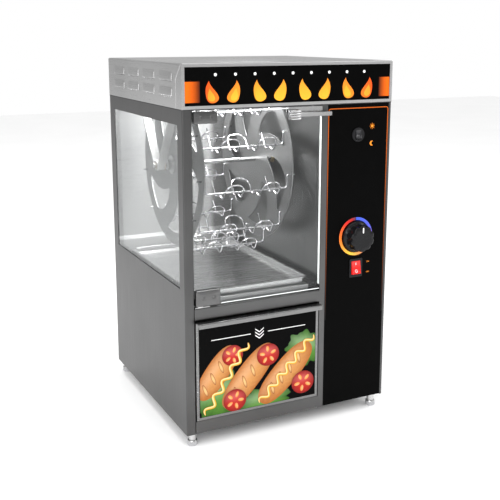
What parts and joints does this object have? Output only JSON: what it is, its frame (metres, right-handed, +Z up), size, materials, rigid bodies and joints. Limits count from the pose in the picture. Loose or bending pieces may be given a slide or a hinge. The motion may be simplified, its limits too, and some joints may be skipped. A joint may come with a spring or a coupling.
{
  "type": "carousel hot dog grill",
  "caption": "Countertop hot dog grill: a steel cabinet with a glass door, a turning wheel of wire cradles, a drip tray, a bun drawer and a side panel of controls.",
  "frame": {"origin": "centre of the bounding box's underside, on the surface that the feet stand on", "axes": "+X to the right as seen from the front, +Y to the back, +Z up"},
  "size_m": [0.391, 0.416, 0.629],
  "materials": {
    "cabinet_steel": "brushed, satin",
    "bright_steel": "polished",
    "chamber_steel": "fine satin",
    "plain_steel": "plain mill finish",
    "wheel_steel": "bright rolled",
    "chrome_wire": "bright drawn wire",
    "bush_brass": "turned",
    "clear_glass": "clear toughened",
    "lamp_glass": "frosted",
    "lamp_white": "moulded",
    "panel_black": "satin black",
    "sign_black": "gloss black",
    "picture_print": "printed",
    "knob_black": "moulded, semi-gloss",
    "switch_black": "moulded",
    "rocker_red": "moulded, translucent",
    "element_dark": "oxidised",
    "foot_rubber": "moulded",
    "gland_plastic": "moulded",
    "terminal_cream": "moulded",
    "motor_grey": "cast housing",
    "thermostat_shell": "moulded"
  },
  "bodies": {
    "cabinet": {"axle_bushes": "bush_brass", "axle_hanger": "wheel_steel", "back_panel": "plain_steel", "base_pan": "plain_steel", "cable_gland": "gland_plastic", "chamber_ceiling": "chamber_steel", "chamber_floor": "chamber_steel", "chamber_rear_wall": "chamber_steel", "control_panel": "panel_black", "door_catch": "gland_plastic", "door_pivots": "plain_steel", "drawer_runners": "plain_steel", "element_clips": "plain_steel", "feet": "foot_rubber", "front_frame": "cabinet_steel", "gearmotor": "motor_grey", "heating_elements": "element_dark", "lamp_holders": "lamp_white", "lamp_tube": "lamp_glass", "left_side_panel": "cabinet_steel", "light_switch_housing": "switch_black", "mains_switch_housing": "switch_black", "motor_mount": "plain_steel", "partition_wall": "chamber_steel", "right_side_panel": "cabinet_steel", "side_window_glass": "clear_glass", "sign_frame": "cabinet_steel", "sign_panel": "sign_black", "terminal_block": "terminal_cream", "thermostat": "thermostat_shell", "top_hood": "cabinet_steel", "window_clips": "plain_steel"},
    "carousel": {"carousel_axle": "wheel_steel", "left_disc": "wheel_steel", "right_disc": "wheel_steel", "disc_hubs": "wheel_steel"},
    "cradle_01": {"cradle_01": "chrome_wire"},
    "cradle_02": {"cradle_02": "chrome_wire"},
    "cradle_03": {"cradle_03": "chrome_wire"},
    "cradle_04": {"cradle_04": "chrome_wire"},
    "cradle_05": {"cradle_05": "chrome_wire"},
    "cradle_06": {"cradle_06": "chrome_wire"},
    "cradle_07": {"cradle_07": "chrome_wire"},
    "cradle_08": {"cradle_08": "chrome_wire"},
    "cradle_09": {"cradle_09": "chrome_wire"},
    "cradle_10": {"cradle_10": "chrome_wire"},
    "cradle_11": {"cradle_11": "chrome_wire"},
    "door": {"door_glass": "clear_glass", "upper_door_clamp": "bright_steel", "lower_door_clamp": "bright_steel", "door_handle": "bright_steel", "door_top_channel": "bright_steel"},
    "drawer": {"drawer_box": "plain_steel", "drawer_front": "cabinet_steel", "drawer_picture": "picture_print"},
    "tray": {"drip_tray": "chamber_steel"},
    "knob": {"temperature_knob": "knob_black", "thermostat_spindle": "wheel_steel"},
    "light_key": {"light_rocker": "switch_black"},
    "mains_key": {"mains_rocker": "rocker_red"}
  },
  "joints": [
    {"name": "carousel_spin", "type": "hinge", "parent": "cabinet", "child": "carousel", "pos_m": [-0.06125, -0.007, 0.44876], "axis": [1, 0, 0], "continuous": true},
    {"name": "cradle_01_swing", "type": "hinge", "parent": "carousel", "child": "cradle_01", "pos_m": [-0.06125, 0.11646, 0.49615], "axis": [1, 0, 0], "continuous": true},
    {"name": "cradle_02_swing", "type": "hinge", "parent": "carousel", "child": "cradle_02", "pos_m": [-0.06125, 0.07124, 0.55537], "axis": [1, 0, 0], "continuous": true},
    {"name": "cradle_03_swing", "type": "hinge", "parent": "carousel", "child": "cradle_03", "pos_m": [-0.06125, 0.00118, 0.58075], "axis": [1, 0, 0], "continuous": true},
    {"name": "cradle_04_swing", "type": "hinge", "parent": "carousel", "child": "cradle_04", "pos_m": [-0.06125, -0.07148, 0.56422], "axis": [1, 0, 0], "continuous": true},
    {"name": "cradle_05_swing", "type": "hinge", "parent": "carousel", "child": "cradle_05", "pos_m": [-0.06125, -0.12366, 0.51103], "axis": [1, 0, 0], "continuous": true},
    {"name": "cradle_06_swing", "type": "hinge", "parent": "carousel", "child": "cradle_06", "pos_m": [-0.06125, -0.13881, 0.43807], "axis": [1, 0, 0], "continuous": true},
    {"name": "cradle_07_swing", "type": "hinge", "parent": "carousel", "child": "cradle_07", "pos_m": [-0.06125, -0.1121, 0.36851], "axis": [1, 0, 0], "continuous": true},
    {"name": "cradle_08_swing", "type": "hinge", "parent": "carousel", "child": "cradle_08", "pos_m": [-0.06125, -0.05203, 0.32442], "axis": [1, 0, 0], "continuous": true},
    {"name": "cradle_09_swing", "type": "hinge", "parent": "carousel", "child": "cradle_09", "pos_m": [-0.06125, 0.02234, 0.31982], "axis": [1, 0, 0], "continuous": true},
    {"name": "cradle_10_swing", "type": "hinge", "parent": "carousel", "child": "cradle_10", "pos_m": [-0.06125, 0.08739, 0.35615], "axis": [1, 0, 0], "continuous": true},
    {"name": "cradle_11_swing", "type": "hinge", "parent": "carousel", "child": "cradle_11", "pos_m": [-0.06125, 0.12248, 0.42188], "axis": [1, 0, 0], "continuous": true},
    {"name": "door_hinge", "type": "hinge", "parent": "cabinet", "child": "door", "pos_m": [-0.1655, -0.181, 0.4], "axis": [0, 0, -1], "range_deg": [0, 110]},
    {"name": "drawer_slide", "type": "slide", "parent": "cabinet", "child": "drawer", "axis": [0, -1, 0], "range_m": [0, 0.25]},
    {"name": "tray_slide", "type": "slide", "parent": "cabinet", "child": "tray", "axis": [0, -1, 0], "range_m": [0, 0.006]},
    {"name": "temperature_turn", "type": "hinge", "parent": "cabinet", "child": "knob", "pos_m": [0.1269, -0.19, 0.3288], "axis": [0, 1, 0], "range_deg": [0, 300]},
    {"name": "light_rocker_tilt", "type": "hinge", "parent": "cabinet", "child": "light_key", "pos_m": [0.1259, -0.181, 0.5059], "axis": [1, 0, 0], "range_deg": [0, 18]},
    {"name": "mains_rocker_tilt", "type": "hinge", "parent": "cabinet", "child": "mains_key", "pos_m": [0.1278, -0.181, 0.2724], "axis": [1, 0, 0], "range_deg": [0, 18]}
  ],
  "couplings": [
    {"joint": "cradle_01_swing", "follows": "carousel_spin", "ratio": -1},
    {"joint": "cradle_02_swing", "follows": "carousel_spin", "ratio": -1},
    {"joint": "cradle_03_swing", "follows": "carousel_spin", "ratio": -1},
    {"joint": "cradle_04_swing", "follows": "carousel_spin", "ratio": -1},
    {"joint": "cradle_05_swing", "follows": "carousel_spin", "ratio": -1},
    {"joint": "cradle_06_swing", "follows": "carousel_spin", "ratio": -1},
    {"joint": "cradle_07_swing", "follows": "carousel_spin", "ratio": -1},
    {"joint": "cradle_08_swing", "follows": "carousel_spin", "ratio": -1},
    {"joint": "cradle_09_swing", "follows": "carousel_spin", "ratio": -1},
    {"joint": "cradle_10_swing", "follows": "carousel_spin", "ratio": -1},
    {"joint": "cradle_11_swing", "follows": "carousel_spin", "ratio": -1}
  ]
}
